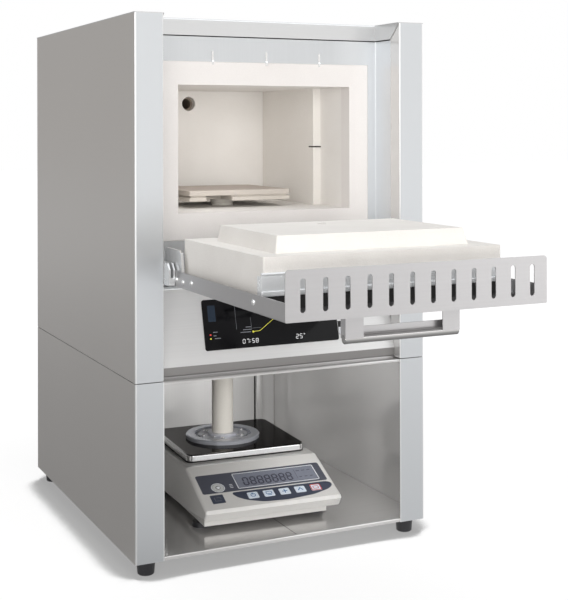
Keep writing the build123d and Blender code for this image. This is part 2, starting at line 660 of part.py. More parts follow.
# pan, its carrier, ring flange, hub, tube and tray move together on the load cell
pan_under = pan_top - pan_wall
carrier_face = Plane((0, scale_mid, pan_under - 4)) * Rectangle(pan_w - 30, 18)
spider = extrude(carrier_face, amount=4) + extrude(
    Plane((0, scale_mid, pan_under - 4)) * Rectangle(18, pan_d - 30), amount=4)
spider += rod((0, scale_mid, post_low), (0, 0, 1), post_radius, pan_under - 2 - post_low)
add("pan_carrier", spider)

pan = extrude(Plane((0, scale_mid, pan_top - pan_edge)) * RectangleRounded(pan_w, pan_d, pan_corner), amount=pan_edge)
pan = fillet(pan.faces().sort_by(Axis.Z)[-1].edges(), 2.6)
pan -= extrude(Plane((0, scale_mid, pan_top - pan_edge)) * RectangleRounded(
    pan_w - 2 * pan_wall, pan_d - 2 * pan_wall, pan_corner - pan_wall), amount=pan_edge - pan_wall)
add("weighing_pan", pan)

ring = rod((tube_x, tube_y, ring_base), (0, 0, 1), ring_radius, ring_height)
ring = chamfer(ring.edges().filter_by(GeomType.CIRCLE).sort_by(Axis.Z)[-1], 1.2)
ring -= rod((tube_x, tube_y, ring_base), (0, 0, 1), ring_inner, ring_height)
add("ring_flange", ring)
hub = rod((tube_x, tube_y, ring_base), (0, 0, 1), hub_radius, ring_height - 1.5)
hub += rod((tube_x, tube_y, ring_base), (0, 0, 1), tube_radius + 6.5, hub_height)
hub += rod((tube_x, tube_y, ring_base), (0, 0, 1), ring_inner, 1.5)
hub -= rod((tube_x, tube_y, ring_base + 2), (0, 0, 1), tube_radius + 0.02, 20)
add("ring_hub", hub)

tube = rod((tube_x, tube_y, ring_base + 2), (0, 0, 1), tube_radius, tube_top - ring_base - 2)
head = rod((tube_x, tube_y, tube_top - 6), (0, 0, 1), tube_radius + 2.2, 6)
tube = tube + chamfer(head.edges().filter_by(GeomType.CIRCLE).sort_by(Axis.Z)[0], 1.5)
tube -= rod((tube_x, tube_y, ring_base), (0, 0, 1), tube_bore, tube_top)
add("support_tube", tube)

notch_y = tray_front
tray_left, tray_right = tube_x - tray_w / 2, tube_x + tray_w / 2
support = block(tray_left, tray_right, notch_y, notch_y + tray_d, tube_top, tray_under - carrier_joint)
support += block(tray_left + carrier_inset, tray_right - carrier_inset, notch_y + carrier_inset,
                 notch_y + tray_d - carrier_inset, tube_top, tray_under)
notch_x = tube_x + carrier_notch_x
support -= block(notch_x - carrier_notch_w / 2, notch_x + carrier_notch_w / 2,
                 notch_y - 5, notch_y + carrier_notch_d, tube_top - 1, tray_under + 1)
add("tray_support", support)
tray = block(tray_left, tray_right, notch_y, notch_y + tray_d, tray_under, tray_top)
add("ceramic_tray", fillet(tray.edges().filter_by(Axis.Z), 2))

# ------------------------------------------------------------------ place and write
# the scale and its pan stand slightly turned and off the middle
on_scale = [name for name in pieces if name.startswith("scale_")] + ["pan_carrier", "weighing_pan"]
set_down = Pos(scale_x, scale_mid, 0) * Rot(0, 0, scale_turn) * Pos(0, -scale_mid, 0)
for name in on_scale:
    pieces[name] = set_down * pieces[name]

front_y = strip_y
back_y = vent_out
to_origin = Pos(0, -(front_y + back_y) / 2, 0)
for name, shape in pieces.items():
    solids = [to_origin * solid for solid in shape.solids()]
    export_step(solids[0] if len(solids) == 1 else Compound(solids), f"parts/{name}.step")
print(len(pieces), "parts")
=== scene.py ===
from math import cos, radians, sin

import bmesh
import bpy
from mathutils import Euler, Matrix, Vector


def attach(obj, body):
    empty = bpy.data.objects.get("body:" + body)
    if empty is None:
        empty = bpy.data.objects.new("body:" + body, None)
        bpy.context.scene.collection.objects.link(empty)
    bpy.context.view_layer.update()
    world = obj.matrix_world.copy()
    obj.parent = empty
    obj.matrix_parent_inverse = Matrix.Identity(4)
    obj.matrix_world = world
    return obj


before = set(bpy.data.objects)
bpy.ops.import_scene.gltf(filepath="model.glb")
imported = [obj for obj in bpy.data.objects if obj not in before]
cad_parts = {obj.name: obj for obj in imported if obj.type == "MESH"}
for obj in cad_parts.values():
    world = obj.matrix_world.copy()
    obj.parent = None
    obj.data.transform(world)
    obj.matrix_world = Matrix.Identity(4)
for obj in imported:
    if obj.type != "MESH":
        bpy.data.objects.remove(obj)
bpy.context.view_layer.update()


# ------------------------------------------------------------------ places
def shift(x, y, z=0.0):
    return Matrix.Translation((x, y, z))


def turn(angle, axis="Z"):
    return Matrix.Rotation(radians(angle), 4, axis)


# Pieces are made in millimetres. CABINET has X across from the middle, Y from the pillar
# fronts to the rear and Z up from the bench; it turns millimetres into the model's metres.
HALF_WIDTH = 0.2075
PILLAR_FRONT = -0.0825
CABINET = shift(0, PILLAR_FRONT) @ Matrix.Diagonal((0.001, 0.001, 0.001, 1))

# the scale stands turned about its middle; its face slopes up to the rear
SCALE_X, SCALE_Y, SCALE_TURN = 5, 210, -3
FACE_Y, FACE_Z, FACE_SLOPE = 59.5, 73.2, 22
SCALE = CABINET @ shift(SCALE_X, SCALE_Y) @ turn(SCALE_TURN) @ shift(0, -SCALE_Y)
SCALE_FACE = SCALE @ shift(0, FACE_Y, FACE_Z) @ turn(FACE_SLOPE, "X")

# outer face of the display glass, from its middle, with Y up the inclined panel
PANEL_SLOPE, GLASS = 75.4, 1.0
DISPLAY = CABINET @ shift(-10.5, 27.47, 302.4) @ turn(PANEL_SLOPE, "X") @ shift(0, 0, GLASS)

# ------------------------------------------------------------------ camera and light
EYE_PLACE = (-683.7, -1420.1, 556.5)
EYE_TILT, EYE_ROLL, EYE_TURN = 90, 0.11, -25.557

eye = bpy.data.cameras.new("eye")
eye.sensor_width = 36
eye.lens = 72.68
eye.shift_y = -0.28725
eye.clip_end = 50
camera = bpy.data.objects.new("eye", eye)
bpy.context.collection.objects.link(camera)
camera.location = CABINET @ Vector(EYE_PLACE)
camera.rotation_euler = Euler((radians(EYE_TILT), radians(EYE_ROLL), radians(EYE_TURN)))
scene = bpy.context.scene
scene.camera = camera
scene.view_settings.view_transform = "Standard"

WARM, COOL, PLAIN = (1.0, 0.985, 0.965), (0.97, 0.985, 1.0), (1, 1, 1)


def softbox(name, place, target, size, size_y, power, colour=PLAIN):
    """Soft light for the matt surfaces; metal sees only the room and the floor."""
    light = bpy.data.lights.new(name, "AREA")
    light.shape = "RECTANGLE"
    light.size = size
    light.size_y = size_y
    light.energy = power
    light.color = colour
    lamp = bpy.data.objects.new(name, light)
    bpy.context.collection.objects.link(lamp)
    lamp.location = place
    lamp.rotation_euler = (Vector(target) - Vector(place)).to_track_quat("-Z", "Y").to_euler()
    lamp.visible_glossy = False
    lamp.visible_camera = False


softbox("softbox_front", (0.1, -2.5, 0.62), (0, 0, 0.36), 1.3, 1.0, 24, WARM)
softbox("softbox_front_left", (-1.45, -2.1, 0.82), (0, 0, 0.38), 1.1, 1.0, 16, WARM)
softbox("softbox_top", (0.2, -0.1, 2.2), (0, 0, 0.3), 1.6, 1.4, 15, COOL)
softbox("softbox_left", (-2.3, -0.6, 1.3), (0, 0, 0.4), 1.2, 1.4, 5, WARM)
# small lamps lift the two hollows: one inside the chamber, two under the roof of the bay
softbox("chamber_lamp", (-0.08, 0.0, 0.545), (0.05, 0.14, 0.45), 0.06, 0.06, 0.048,
        (1.0, 0.985, 0.96))
softbox("bay_lamp_back", (0.01, 0.28, 0.215), (0.01, 0.42, 0.05), 0.12, 0.06, 0.22)
softbox("bay_lamp_right", (0.09, -0.02, 0.226), (0.20, 0.05, 0.05), 0.05, 0.20, 0.15)


# ------------------------------------------------------------------ node helpers
def node(tree, kind, settings=None, **values):
    """New node; settings are its properties, values its input sockets."""
    item = tree.nodes.new(kind)
    for key, value in (settings or {}).items():
        setattr(item, key, value)
    for key, value in values.items():
        item.inputs[key.replace("_", " ")].default_value = value
    return item


def link(tree, source, target):
    tree.links.new(source, target)


def remap(tree, source, low, high, out_low, out_high):
    item = node(tree, "ShaderNodeMapRange",
                From_Min=low, From_Max=high, To_Min=out_low, To_Max=out_high)
    link(tree, source, item.inputs["Value"])
    return item.outputs[0]


def maths(tree, operation, a, b):
    item = node(tree, "ShaderNodeMath", {"operation": operation})
    for socket, value in zip(item.inputs, (a, b)):
        if isinstance(value, (int, float)):
            socket.default_value = value
        else:
            link(tree, value, socket)
    return item.outputs[0]


def colour_mix(tree, factor, a, b, blend="MIX"):
    item = node(tree, "ShaderNodeMix", {"data_type": "RGBA", "blend_type": blend})
    for socket, value in ((item.inputs[0], factor), (item.inputs[6], a), (item.inputs[7], b)):
        if isinstance(value, (int, float)):
            socket.default_value = value
        elif isinstance(value, tuple):
            socket.default_value = (*value, 1.0)
        else:
            link(tree, value, socket)
    return item.outputs[2]


def float_mix(tree, factor, a, b):
    item = node(tree, "ShaderNodeMix", {"data_type": "FLOAT"})
    for socket, value in ((item.inputs[0], factor), (item.inputs[2], a), (item.inputs[3], b)):
        if isinstance(value, (int, float)):
            socket.default_value = value
        else:
            link(tree, value, socket)
    return item.outputs[0]


def axes(tree, kind, output):
    """X, Y and Z outputs of a coordinate or a normal."""
    split = tree.nodes.new("ShaderNodeSeparateXYZ")
    link(tree, tree.nodes.new(kind).outputs[output], split.inputs[0])
    return split.outputs


def by_ray(tree, seen, mirrored, other, out):
    """One shader for camera rays, one for mirror and glass rays, one for the rest."""
    path = tree.nodes.new("ShaderNodeLightPath")
    clear = maths(tree, "MAXIMUM", path.outputs["Is Glossy Ray"],
                  path.outputs["Is Transmission Ray"])
    unseen = tree.nodes.new("ShaderNodeMixShader")
    link(tree, clear, unseen.inputs[0])
    link(tree, other.outputs[0], unseen.inputs[1])
    link(tree, mirrored.outputs[0], unseen.inputs[2])
    final = tree.nodes.new("ShaderNodeMixShader")
    link(tree, path.outputs["Is Camera Ray"], final.inputs[0])
    link(tree, unseen.outputs[0], final.inputs[1])
    link(tree, seen.outputs[0], final.inputs[2])
    link(tree, final.outputs[0], out.inputs[0])


# ------------------------------------------------------------------ surroundings
ROOM_FILL = 0.40

world = bpy.data.worlds.new("studio")
scene.world = world
world.use_nodes = True
wt = world.node_tree
wt.nodes.clear()
w_axes = axes(wt, "ShaderNodeTexCoord", "Generated")
# the room as metal sees it: bright ahead and to the right, calmer behind the left side
w_back = maths(wt, "SUBTRACT", w_axes["Y"], w_axes["X"])
w_tone = remap(wt, w_back, -0.2, 1.15, 1.06, 0.50)
w_cool = remap(wt, w_axes["Z"], -0.1, 0.7, 0.0, 1.0)
w_tint = colour_mix(wt, w_cool, (1.0, 0.975, 0.95), (0.95, 0.98, 1.0))
# bright strips high in front and at the left, which only bends and round bars catch
w_high = maths(wt, "MULTIPLY", remap(wt, w_axes["Z"], 0.28, 0.42, 0.0, 0.9),
               remap(wt, w_axes["Y"], 0.1, -0.3, 0.0, 1.0))
w_corner = maths(wt, "MULTIPLY", remap(wt, w_axes["X"], -0.50, -0.66, 0.0, 1.5),
                 remap(wt, w_axes["Y"], 0.35, 0.05, 0.0, 1.0))
w_tone = maths(wt, "ADD", w_tone, maths(wt, "ADD", w_high, w_corner))
w_white = node(wt, "ShaderNodeBackground", Color=(1, 1, 1, 1), Strength=1.0)
w_room = node(wt, "ShaderNodeBackground", Strength=1.0)
link(wt, colour_mix(wt, 1.0, w_tint, w_tone, "MULTIPLY"), w_room.inputs["Color"])
w_fill = node(wt, "ShaderNodeBackground", Strength=ROOM_FILL)
by_ray(wt, w_white, w_room, w_fill, wt.nodes.new("ShaderNodeOutputWorld"))

BENCH_HALF = 14
SHADOW_REACH = 0.09
SHADOW_GREY = (0.31, 0.31, 0.31)

bench_mesh = bpy.data.meshes.new("bench")
bm = bmesh.new()
bmesh.ops.create_grid(bm, x_segments=1, y_segments=1, size=BENCH_HALF)
bm.to_mesh(bench_mesh)
bm.free()
bench = bpy.data.objects.new("bench", bench_mesh)
bpy.context.collection.objects.link(bench)
bench_paint = bpy.data.materials.new("bench_paint")
bench_paint.use_nodes = True
bt = bench_paint.node_tree
bt.nodes.clear()
b_place = bt.nodes.new("ShaderNodeTexCoord").outputs["Object"]
b_length = node(bt, "ShaderNodeVectorMath", {"operation": "LENGTH"})
link(bt, b_place, b_length.inputs[0])
b_distance = b_length.outputs["Value"]
# the camera sees white with a narrow contact shadow
b_near = node(bt, "ShaderNodeAmbientOcclusion", {"samples": 32}, Distance=SHADOW_REACH)
b_open = remap(bt, b_near.outputs["AO"], 0.655, 0.71, 0.0, 1.0)
b_far = remap(bt, b_distance, 0.55, 1.5, 0.86, 1.0)
b_white = node(bt, "ShaderNodeEmission", Strength=1.0)
link(bt, colour_mix(bt, b_open, SHADOW_GREY, b_far), b_white.inputs["Color"])
b_soft = node(bt, "ShaderNodeBsdfDiffuse", Color=(0.22, 0.22, 0.22, 1))
b_seen = bt.nodes.new("ShaderNodeAddShader")
link(bt, b_white.outputs[0], b_seen.inputs[0])
link(bt, b_soft.outputs[0], b_seen.inputs[1])
# metal sees a floor with painted shade near the stand, and dimmer behind its left side
b_axes = bt.nodes.new("ShaderNodeSeparateXYZ")
link(bt, b_place, b_axes.inputs[0])
b_back = maths(bt, "SUBTRACT", b_axes.outputs["Y"], b_axes.outputs["X"])
b_side = remap(bt, maths(bt, "DIVIDE", b_back, b_distance), -1.5, 1.15, 1.20, 0.50)
b_run = remap(bt, b_distance, 0.3, 4.0, 0.60, 1.06)
b_mirror = node(bt, "ShaderNodeEmission", Strength=1.0)
link(bt, colour_mix(bt, 1.0, b_side, b_run, "MULTIPLY"), b_mirror.inputs["Color"])
b_diffuse = node(bt, "ShaderNodeBsdfDiffuse", Color=(0.8, 0.8, 0.8, 1))
by_ray(bt, b_seen, b_mirror, b_diffuse, bt.nodes.new("ShaderNodeOutputMaterial"))
bench_mesh.materials.append(bench_paint)


# ------------------------------------------------------------------ shared surface effects
def make_group(name, inputs, outputs):
    group = bpy.data.node_groups.new(name, "ShaderNodeTree")
    for label, kind, value in inputs:
        group.interface.new_socket(label, in_out="INPUT", socket_type=kind).default_value = value
    for label, kind in outputs:
        group.interface.new_socket(label, in_out="OUTPUT", socket_type=kind)
    return group, group.nodes.new("NodeGroupInput"), group.nodes.new("NodeGroupOutput")


# what both groups give to a material: colour, roughness and two heights for the relief
SURFACE = [("Color", "NodeSocketColor"), ("Roughness", "NodeSocketFloat"),
           ("Height", "NodeSocketFloat"), ("Wave", "NodeSocketFloat")]

# brushed grain: fine streaks along one direction, soft clouds and a few handling smudges
grain, g_in, g_out = make_group(
    "brushed_grain",
    [("Scale", "NodeSocketVector", (20, 900, 20)), ("Dark", "NodeSocketColor", (0.5, 0.5, 0.5, 1)),
     ("Light", "NodeSocketColor", (0.7, 0.7, 0.7, 1)), ("Rough Low", "NodeSocketFloat", 0.25),
     ("Rough High", "NodeSocketFloat", 0.4), ("Cloud Scale", "NodeSocketFloat", 4.0),
     ("Smudge", "NodeSocketFloat", 0.06)], SURFACE)
g_coord = grain.nodes.new("ShaderNodeTexCoord").outputs["Object"]
g_map = grain.nodes.new("ShaderNodeMapping")
link(grain, g_coord, g_map.inputs["Vector"])
link(grain, g_in.outputs["Scale"], g_map.inputs["Scale"])
g_noise = node(grain, "ShaderNodeTexNoise", Scale=1.0, Detail=4.0, Roughness=0.6)
link(grain, g_map.outputs[0], g_noise.inputs["Vector"])
g_cloud = node(grain, "ShaderNodeTexNoise", Detail=2.0)
link(grain, g_coord, g_cloud.inputs["Vector"])
link(grain, g_in.outputs["Cloud Scale"], g_cloud.inputs["Scale"])
g_wipe = node(grain, "ShaderNodeTexNoise", Scale=17.0, Detail=5.0, Roughness=0.7, Distortion=0.6)
link(grain, g_coord, g_wipe.inputs["Vector"])
g_blend = float_mix(grain, 0.5, g_noise.outputs[0], g_cloud.outputs[0])
g_fac = remap(grain, g_blend, 0.3, 0.7, 0.0, 1.0)
link(grain, colour_mix(grain, g_fac, g_in.outputs["Dark"], g_in.outputs["Light"]),
     g_out.inputs["Color"])
g_rough = float_mix(grain, g_fac, g_in.outputs["Rough Low"], g_in.outputs["Rough High"])
g_wiped = remap(grain, g_wipe.outputs[0], 0.54, 0.72, 0.0, 1.0)
g_mark = maths(grain, "MULTIPLY", g_wiped, g_in.outputs["Smudge"])
link(grain, maths(grain, "ADD", g_rough, g_mark), g_out.inputs["Roughness"])
link(grain, g_noise.outputs[0], g_out.inputs["Height"])
link(grain, g_cloud.outputs[0], g_out.inputs["Wave"])

# mottle: soft patches with fine pits, for fibre board, ceramic, rubber, paint and mouldings
mottle, m_in, m_out = make_group(
    "mottle",
    [("Patch Scale", "NodeSocketFloat", 9.0), ("Grit Scale", "NodeSocketFloat", 400.0),
     ("Dark", "NodeSocketColor", (0.7, 0.68, 0.64, 1)),
     ("Light", "NodeSocketColor", (0.9, 0.88, 0.86, 1)),
     ("Rough Low", "NodeSocketFloat", 0.8), ("Rough High", "NodeSocketFloat", 0.95)], SURFACE)
m_coord = mottle.nodes.new("ShaderNodeTexCoord").outputs["Object"]
m_patch = node(mottle, "ShaderNodeTexNoise", Detail=3.0)
link(mottle, m_coord, m_patch.inputs["Vector"])
link(mottle, m_in.outputs["Patch Scale"], m_patch.inputs["Scale"])
m_grit = node(mottle, "ShaderNodeTexNoise", Detail=2.0, Roughness=0.7)
link(mottle, m_coord, m_grit.inputs["Vector"])
link(mottle, m_in.outputs["Grit Scale"], m_grit.inputs["Scale"])
m_blend = float_mix(mottle, 0.4, m_patch.outputs[0], m_grit.outputs[0])
m_fac = remap(mottle, m_blend, 0.32, 0.68, 0.0, 1.0)
link(mottle, colour_mix(mottle, m_fac, m_in.outputs["Dark"], m_in.outputs["Light"]),
     m_out.inputs["Color"])
m_rough = float_mix(mottle, m_fac, m_in.outputs["Rough Low"], m_in.outputs["Rough High"])
link(mottle, m_rough, m_out.inputs["Roughness"])
link(mottle, m_grit.outputs[0], m_out.inputs["Height"])
link(mottle, m_patch.outputs[0], m_out.inputs["Wave"])


def finish(name, group, values, bump=0.0, wave=0.0, **shader_values):
    """A Principled material fed by one of the shared groups."""
    material = bpy.data.materials.new(name)
    material.use_nodes = True
    tree = material.node_tree
    tree.nodes.clear()
    out = tree.nodes.new("ShaderNodeOutputMaterial")
    shader = node(tree, "ShaderNodeBsdfPrincipled", **shader_values)
    feed = node(tree, "ShaderNodeGroup", {"node_tree": group})
    for key, value in values.items():
        feed.inputs[key].default_value = value
    link(tree, feed.outputs["Color"], shader.inputs["Base Color"])
    link(tree, feed.outputs["Roughness"], shader.inputs["Roughness"])
    if bump:
        relief = node(tree, "ShaderNodeBump", Strength=1.0, Distance=bump)
        link(tree, feed.outputs["Height"], relief.inputs["Height"])
        link(tree, relief.outputs[0], shader.inputs["Normal"])
        if wave:
            broad = node(tree, "ShaderNodeBump", Strength=1.0, Distance=wave)
            link(tree, feed.outputs["Wave"], broad.inputs["Height"])
            link(tree, broad.outputs[0], relief.inputs["Normal"])
    link(tree, shader.outputs[0], out.inputs[0])
    return material


def brushed(name, dark, light, rough, scale, clouds=4.0, smudge=0.03, bump=6e-7, metal=0.85,
            wave=0.0):
    """Brushed metal between two tones, with its range of roughness."""
    values = {"Scale": scale, "Dark": (*dark, 1), "Light": (*light, 1), "Rough Low": rough[0],
              "Rough High": rough[1], "Cloud Scale": clouds, "Smudge": smudge}
    return finish(name, grain, values, bump=bump, wave=wave, Metallic=metal)


def mottled(name, dark, light, rough, patch, grit, bump=0.0, **extra):
    """Matt or glazed surface between two tones, with soft patches and fine grit."""
    values = {"Patch Scale": patch, "Grit Scale": grit, "Dark": (*dark, 1), "Light": (*light, 1),
              "Rough Low": rough[0], "Rough High": rough[1]}
    return finish(name, mottle, values, bump=bump, **extra)


# slow unevenness of the two bay sheets, and the grain: along one axis, or even on small parts
SHEET_WAVE = 0.0012
ALONG_X, ALONG_Y, ALONG_Z = (3, 420, 420), (420, 3, 420), (420, 420, 3)
TURNED, SCREW, POLISHED, WIRE = (900,) * 3, (400,) * 3, (300,) * 3, (200,) * 3


def place_mask(tree, tests):
    """One where the object's own place passes every test: (axis, absolute, operation, limit)."""
    place = axes(tree, "ShaderNodeTexCoord", "Object")
    mask = None
    for axis, absolute, operation, limit in tests:
        value = maths(tree, "ABSOLUTE", place[axis], 0) if absolute else place[axis]
        value = maths(tree, operation, value, limit)
        mask = value if mask is None else maths(tree, "MULTIPLY", mask, value)
    return mask


def shader_of(material):
    """The node tree of a finish, its shader and the group that feeds it."""
    tree = material.node_tree
    kinds = {item.type: item for item in tree.nodes}
    return tree, kinds["BSDF_PRINCIPLED"], kinds["GROUP"]


def side_finish():
    """Cabinet sheet: brushed outside; painted reflection makes the pillar fronts cooler, painted
    light makes the inside brighter, and the inside is softer; painted highlights run along the
    corner bends and the pillars' inner edges.
    """
    material = brushed("side_sheet", (0.628, 0.603, 0.58), (0.648, 0.623, 0.60), (0.28, 0.31),
                       ALONG_Y, 5.0, smudge=0.0, bump=2e-7)
    tree, shader, feed = shader_of(material)
    inner_edge = 0.1713
    near_front = ("Y", False, "LESS_THAN", PILLAR_FRONT + 0.0021)
    inside = place_mask(tree, (("X", True, "LESS_THAN", HALF_WIDTH - 0.0007),
                               ("Y", False, "GREATER_THAN", PILLAR_FRONT + 0.001)))
    front = place_mask(tree, (("Y", False, "LESS_THAN", PILLAR_FRONT + 0.0013),))
    bend = place_mask(tree, (("X", True, "GREATER_THAN", HALF_WIDTH - 0.0019), near_front))
    lip = place_mask(tree, (("X", True, "LESS_THAN", inner_edge), near_front))
    # painted reflection: the pillar fronts get a cooler tone than the sides
    painted_cool_front = colour_mix(tree, front, feed.outputs["Color"], (0.645, 0.665, 0.685))
    # painted light: the inside faces are brightened
    tint = colour_mix(tree, maths(tree, "MULTIPLY", inside, 0.85), painted_cool_front, (0.77, 0.765, 0.76))
    # painted highlight: the corner bends and the pillars' inner edges are made almost white
    painted_edge_highlight = colour_mix(tree, maths(tree, "MAXIMUM", bend, lip), tint, (0.88, 0.885, 0.89))
    link(tree, painted_edge_highlight, shader.inputs["Base Color"])
    link(tree, float_mix(tree, inside, 0.85, 0.55), shader.inputs["Metallic"])
    softer = maths(tree, "SUBTRACT", feed.outputs["Roughness"],
                   maths(tree, "MULTIPLY", inside, 0.16))
    link(tree, softer, shader.inputs["Roughness"])
    return material


def deck_finish():
    """Deck over the bay: painted shade makes its underside dark."""
    material = brushed("deck_sheet", (0.60, 0.59, 0.58), (0.65, 0.64, 0.63), (0.26, 0.34), ALONG_X)
    tree, shader, feed = shader_of(material)
    # painted shade: faces that look down are made nearly black
    under = remap(tree, axes(tree, "ShaderNodeTexCoord", "Normal")["Z"], -0.5, -0.9, 0.0, 1.0)
    tint = colour_mix(tree, under, feed.outputs["Color"], (0.07, 0.067, 0.065))
    link(tree, tint, shader.inputs["Base Color"])
    return material


def front_finish():
    """Plate round the mouth: painted light makes it paler towards the right pillar."""
    material = brushed("front_plate_sheet", (0.58, 0.595, 0.61), (0.61, 0.625, 0.64), (0.30, 0.35),
                       ALONG_Z, smudge=0.0, bump=1e-7, metal=0.6)
    tree, shader, feed = shader_of(material)
    # painted light: paler towards the right pillar
    beside = remap(tree, axes(tree, "ShaderNodeTexCoord", "Object")["X"], 0.10, 0.155, 0.0, 1.0)
    pale = colour_mix(tree, beside, feed.outputs["Color"], (0.75, 0.77, 0.79))
    link(tree, pale, shader.inputs["Base Color"])
    return material


def bar_finish():
    """Round handle bar: satin steel with painted shade that darkens it towards its underside."""
    material = brushed("bar_metal", (0.56, 0.55, 0.54), (0.66, 0.65, 0.64), (0.10, 0.18), ALONG_X,
                       metal=1.0)
    tree, shader, feed = shader_of(material)
    # painted shade: darker where the bar faces down
    shade = remap(tree, axes(tree, "ShaderNodeTexCoord", "Normal")["Z"], -0.75, 0.35, 0.32, 1.0)
    tint = colour_mix(tree, 1.0, feed.outputs["Color"], shade, "MULTIPLY")
    link(tree, tint, shader.inputs["Base Color"])
    return material


def door_finish():
    """Door skin: brushed along its length, with painted light that makes it a little brighter
    towards its right end.
    """
    material = brushed("door_sheet", (0.56, 0.55, 0.555), (0.61, 0.60, 0.605), (0.28, 0.36),
                       ALONG_X)
    tree, shader, feed = shader_of(material)
    # painted light: brighter towards the right end
    lift = remap(tree, axes(tree, "ShaderNodeTexCoord", "Object")["X"], -0.17, 0.17, 0.88, 1.10)
    tint = colour_mix(tree, 1.0, feed.outputs["Color"], lift, "MULTIPLY")
    link(tree, tint, shader.inputs["Base Color"])
    return material


def panel_finish():
    """Control panel: satin face over a darker strip."""
    strip_top = 0.2549
    material = brushed("panel_sheet", (0.72, 0.72, 0.72), (0.78, 0.78, 0.78), (0.34, 0.40), ALONG_X,
                       metal=0.5)
    tree, shader, feed = shader_of(material)
    strip = maths(tree, "MULTIPLY", place_mask(tree, (("Z", False, "LESS_THAN", strip_top),)), 0.85)
    tint = colour_mix(tree, strip, feed.outputs["Color"], (0.19, 0.18, 0.175))
    link(tree, tint, shader.inputs["Base Color"])
    return material


def pan_finish():
    """Mirror-polished pan: its clear top carries a painted dark reflection, and its rounded edges
    are bright.
    """
    material = brushed("pan_metal", (0.90, 0.90, 0.90), (0.96, 0.96, 0.96), (0.05, 0.09), POLISHED,
                       bump=4e-7, metal=1.0)
    tree, shader, feed = shader_of(material)
    shader.inputs["Specular Tint"].default_value = (0.5, 0.5, 0.5, 1)
    # painted reflection: the upward face is made nearly black
    top = remap(tree, axes(tree, "ShaderNodeNewGeometry", "Normal")["Z"], 0.975, 0.999, 0.0, 1.0)
    tint = colour_mix(tree, top, feed.outputs["Color"], (0.09, 0.085, 0.081))
    link(tree, tint, shader.inputs["Base Color"])
    return material


def tray_finish():
    """Ceramic tray: taupe top over paler cut edges."""
    material = mottled("tray_plate", (0.60, 0.53, 0.485), (0.68, 0.61, 0.56), (0.75, 0.88), 14, 500,
                       0.0002)
    tree, shader, feed = shader_of(material)
    edge = remap(tree, axes(tree, "ShaderNodeNewGeometry", "Normal")["Z"], 0.5, 0.9, 1.0, 0.0)
    pale = colour_mix(tree, 0.6, feed.outputs["Color"], (0.60, 0.565, 0.51))
    link(tree, colour_mix(tree, edge, feed.outputs["Color"], pale), shader.inputs["Base Color"])
    return material


# sheet steel
side_sheet = side_finish()
deck_sheet = deck_finish()
front_sheet = front_finish()
panel_sheet = panel_finish()
door_sheet = door_finish()
lid_sheet = brushed("lid_sheet", (0.645, 0.65, 0.655), (0.665, 0.67, 0.675), (0.27, 0.30), ALONG_X,
                    smudge=0.0, bump=2e-7)
bay_floor_sheet = brushed("bay_floor_sheet", (0.68, 0.67, 0.66), (0.72, 0.71, 0.70), (0.09, 0.16),
                          ALONG_X, 5.0, metal=0.6, wave=SHEET_WAVE)
bay_back_sheet = brushed("bay_back_sheet", (0.82, 0.815, 0.81), (0.88, 0.875, 0.87), (0.07, 0.13),
                         ALONG_Z, 5.0, metal=0.45, wave=SHEET_WAVE)
inner_sheet = brushed("hidden_sheet", (0.50, 0.50, 0.50), (0.60, 0.60, 0.60), (0.35, 0.5), ALONG_X)
rail_sheet = brushed("rail_sheet", (0.88, 0.90, 0.92), (0.92, 0.94, 0.96), (0.22, 0.3), ALONG_X,
                     metal=0.2)
# smaller metal parts
hinge_metal = brushed("hinge_metal", (0.66, 0.665, 0.67), (0.80, 0.805, 0.81), (0.16, 0.28),
                      ALONG_X, 30, metal=0.6)
bar_metal = bar_finish()
pan_metal = pan_finish()
ring_metal = brushed("ring_metal", (0.60, 0.62, 0.68), (0.66, 0.68, 0.74), (0.20, 0.26), TURNED,
                     smudge=0.0, metal=0.5)
hub_metal = brushed("hub_metal", (0.68, 0.69, 0.74), (0.71, 0.72, 0.77), (0.3, 0.36), TURNED,
                    smudge=0.0, metal=0.4)
wire_metal = brushed("wire_metal", (0.05, 0.045, 0.04), (0.10, 0.09, 0.08), (0.5, 0.7), WIRE)
screw_metal = brushed("screw_metal", (0.72, 0.72, 0.72), (0.88, 0.88, 0.88), (0.12, 0.24), SCREW)
brass = brushed("brass", (0.60, 0.44, 0.20), (0.74, 0.56, 0.28), (0.2, 0.35), POLISHED)
# fibre board and ceramic
MATT_BOARD = (0.88, 0.98)
fibre_board = mottled("fibre_board", (0.885, 0.86, 0.83), (0.94, 0.92, 0.895), MATT_BOARD, 14, 900,
                      0.0003)
collar_board = mottled("collar_board", (0.82, 0.785, 0.765), (0.88, 0.85, 0.83), MATT_BOARD, 10,
                       900, 0.00025)
slab_board = mottled("slab_board", (0.87, 0.84, 0.805), (0.94, 0.915, 0.88), MATT_BOARD, 18, 700,
                     0.0004)
heater_face = mottled("heater_face", (0.86, 0.83, 0.79), (0.92, 0.895, 0.86), (0.75, 0.88), 8, 500,
                      0.0002)
flue_ceramic = mottled("flue_ceramic", (0.26, 0.21, 0.17), (0.36, 0.30, 0.25), (0.8, 0.9), 30, 600,
                       0.0001)
tube_ceramic = mottled("tube_ceramic", (0.80, 0.765, 0.70), (0.87, 0.84, 0.78), (0.45, 0.6), 12,
                       600, 0.00008)
carrier_ceramic = mottled("carrier_ceramic", (0.62, 0.575, 0.52), (0.70, 0.655, 0.60), (0.75, 0.88),
                          14, 500, 0.0002)
tray_plate = tray_finish()
